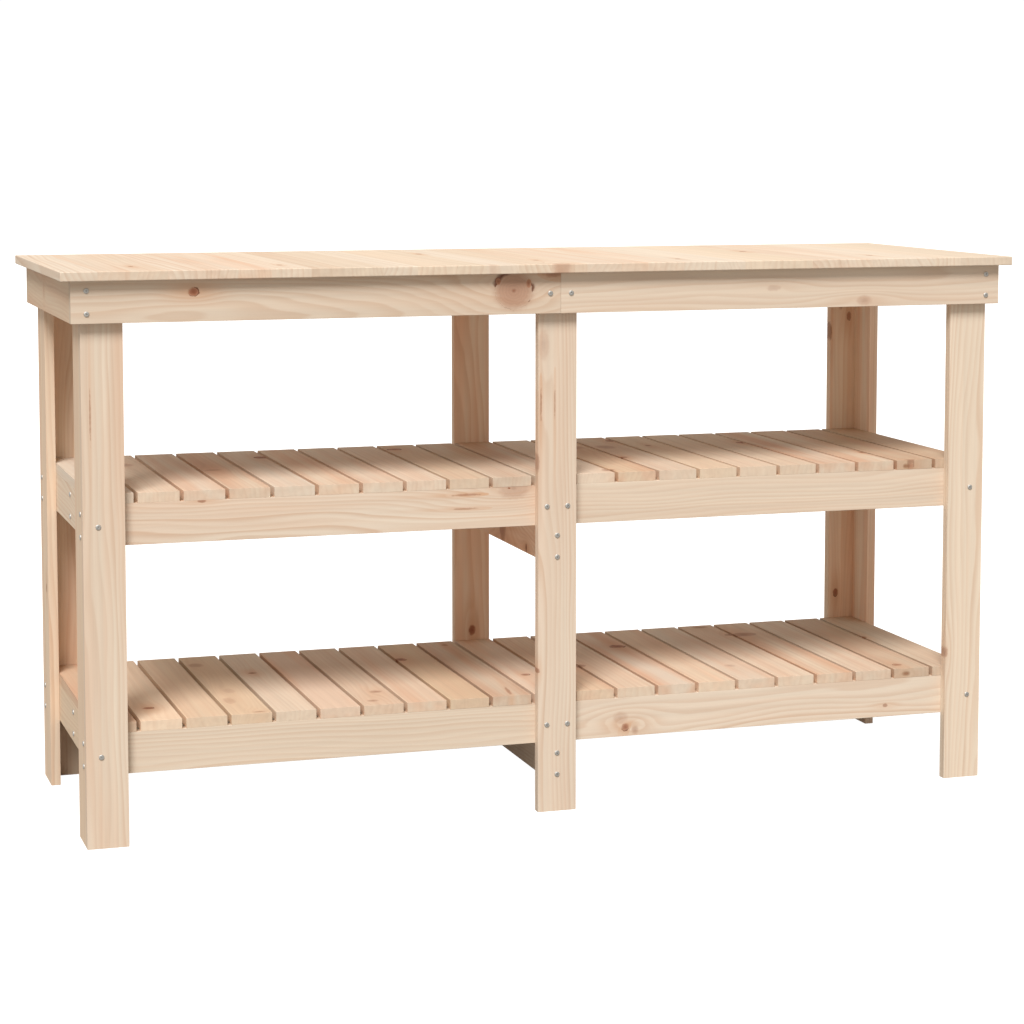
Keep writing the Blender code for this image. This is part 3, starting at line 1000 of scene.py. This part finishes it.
front_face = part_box("front_apron_left")[0].y
leg_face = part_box("front_middle_leg")[0].y
side_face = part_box("front_left_leg_side_board")[0].x
rail_low, rail_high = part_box("middle_front_rail_left")
corner_x = side_face + CORNER_IN
face_board_x = side_face + FACE_BOARD_IN
side_board_y = (rail_low.y + rail_high.y) / 2
end_rail_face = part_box("middle_left_end_rail")[0].x
apron_z = middle_z("front_apron_left")

screws = []
for shelf in ("lower", "middle"):
    rail_z = middle_z(f"{shelf}_front_rail_left")
    bearer_z = middle_z(f"{shelf}_cross_bearer")
    for x in (-PAIR_BESIDE, PAIR_BESIDE):
        screws.append((f"{shelf}_rail", (x, leg_face, rail_z)))
    for z in (bearer_z + PAIR_ABOVE, bearer_z - PAIR_ABOVE):
        screws.append((f"{shelf}_bearer", (0.0, leg_face, z)))
    screws.append((f"{shelf}_corner_face", (face_board_x, leg_face, rail_z)))
    for z in (rail_z + SIDE_ABOVE, rail_z - SIDE_ABOVE):
        screws.append((f"{shelf}_corner_side", (side_face, side_board_y, z)))
        screws.append((f"{shelf}_end_rail_side", (end_rail_face, 0.0, z)))
for z in (apron_z + PAIR_ABOVE, apron_z - PAIR_ABOVE):
    screws.append(("apron_corner", (corner_x, front_face, z)))
for x in (-PAIR_BESIDE, PAIR_BESIDE):
    screws.append(("apron_middle", (x, front_face, apron_z)))

# %% Driving them, each a little into the wood
SINK = 0.15 * MM


def drive(name, place, outwards, turn):
    copy = copy_of(screw, name)
    upright = Vector(outwards).to_track_quat("Z", "Y").to_matrix().to_4x4()
    seat = Vector(place) - Vector(outwards) * SINK
    copy.data.transform(Matrix.Translation(seat) @ upright @ Matrix.Rotation(turn, 4, "Z"))
    hand_over(copy, None, zinc)


chance = random.Random("screws")
driven = 0
for label, (x, y, z) in screws:
    on_side = label.endswith("side")
    both_ends = on_side or "corner" in label
    for face, rear in (("front", 1), ("rear", -1))[: 1 if y == 0 else 2]:
        for side, right in (("left", 1), ("right", -1))[: 2 if both_ends else 1]:
            driven += 1
            outwards = (-right, 0, 0) if on_side else (0, -rear, 0)
            turn = chance.uniform(0, math.pi)
            drive(f"screw_{driven:02d}_{face}_{label}", (x * right, y * rear, z), outwards, turn)
bpy.data.objects.remove(screw, do_unlink=True)
print(driven, "screws")

# %% [markdown]
# ## The studio
#
# The light is one broad lamp, high at the front left, which leaves soft-edged shadows: the aprons' shade
# on the legs is a hand's breadth of half light, and the shelves fade into shade towards the rear. A sun
# lamp with a wide angle gives the same light all over the bench. Warm white walls all round fill the
# shade. The camera sees the room plain white, and the pale floor too, by a glow that lights nothing else.

# %% Light
LAMP_SIDE = math.radians(30)
LAMP_HEIGHT = math.radians(49)
LAMP_WIDTH = math.radians(24)
LAMP_POWER = 3.15
ROOM_LIGHT = 0.53
ROOM_WARMTH = (1.0, 0.955, 0.88, 1.0)
ROOM_SEEN = 1.05

lamp_data = bpy.data.lights.new("broad_lamp", "SUN")
lamp_data.energy = LAMP_POWER
lamp_data.angle = LAMP_WIDTH
lamp = bpy.data.objects.new("broad_lamp", lamp_data)
towards_lamp = Vector((
    -math.sin(LAMP_SIDE) * math.cos(LAMP_HEIGHT), -math.cos(LAMP_SIDE) * math.cos(LAMP_HEIGHT), math.sin(LAMP_HEIGHT)
))
lamp.rotation_euler = towards_lamp.to_track_quat("Z", "Y").to_euler()
bpy.context.scene.collection.objects.link(lamp)

# %% The room: what the bench sees of it, and what the camera sees
room = bpy.data.worlds.new("white_room")
room.use_nodes = True
room_tree = room.node_tree
room_tree.nodes["Background"].inputs["Strength"].default_value = ROOM_LIGHT
room_view = add(room_tree, "ShaderNodeBackground", {"Color": (1, 1, 1, 1), "Strength": ROOM_SEEN})
room_tree.nodes["Background"].inputs["Color"].default_value = ROOM_WARMTH
room_ray = add(room_tree, "ShaderNodeLightPath")
room_mix = add(room_tree, "ShaderNodeMixShader", {
    0: room_ray.outputs["Is Camera Ray"], 1: room_tree.nodes["Background"].outputs[0], 2: room_view,
})
room_tree.links.new(room_mix.outputs[0], room_tree.nodes["World Output"].inputs["Surface"])
bpy.context.scene.world = room
bpy.context.scene.view_settings.view_transform = "Standard"

# %% The floor
FLOOR_SIZE = 60.0
FLOOR_DROP = 0.2 * MM
FLOOR_PAINT = srgb("#A09E9B")
FLOOR_ROUGHNESS = 0.9
FLOOR_GLOW = 1.0

deselect()
bpy.ops.mesh.primitive_plane_add(size=FLOOR_SIZE, location=(0, 0, frame_low.z - FLOOR_DROP))
floor = bpy.context.object
floor.name = "studio_floor"
paint = bpy.data.materials.new("pale_floor_paint")
paint.use_nodes = True
paint_shader = paint.node_tree.nodes["Principled BSDF"]
paint_shader.inputs["Base Color"].default_value = FLOOR_PAINT
paint_shader.inputs["Roughness"].default_value = FLOOR_ROUGHNESS
paint_shader.inputs["Emission Color"].default_value = (1, 1, 1, 1)
paint_ray = add(paint.node_tree, "ShaderNodeLightPath")
glow = add(
    paint.node_tree, "ShaderNodeMath", {0: paint_ray.outputs["Is Camera Ray"], 1: FLOOR_GLOW}, operation="MULTIPLY"
)
paint.node_tree.links.new(glow.outputs[0], paint_shader.inputs["Emission Strength"])
floor.data.materials.append(paint)
floor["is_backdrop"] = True

# %% [markdown]
# ## Size
#
# The finished bench has to fill the same box as its frame. The difference between the two boxes is
# written out, corner by corner, in millimetres.

# %% Both boxes
shown_low, shown_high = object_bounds()
pairs = zip((*frame_low, *frame_high), (*shown_low, *shown_high))
print("size differs by", [round(abs(a - b) / MM, 2) for a, b in pairs], "mm")
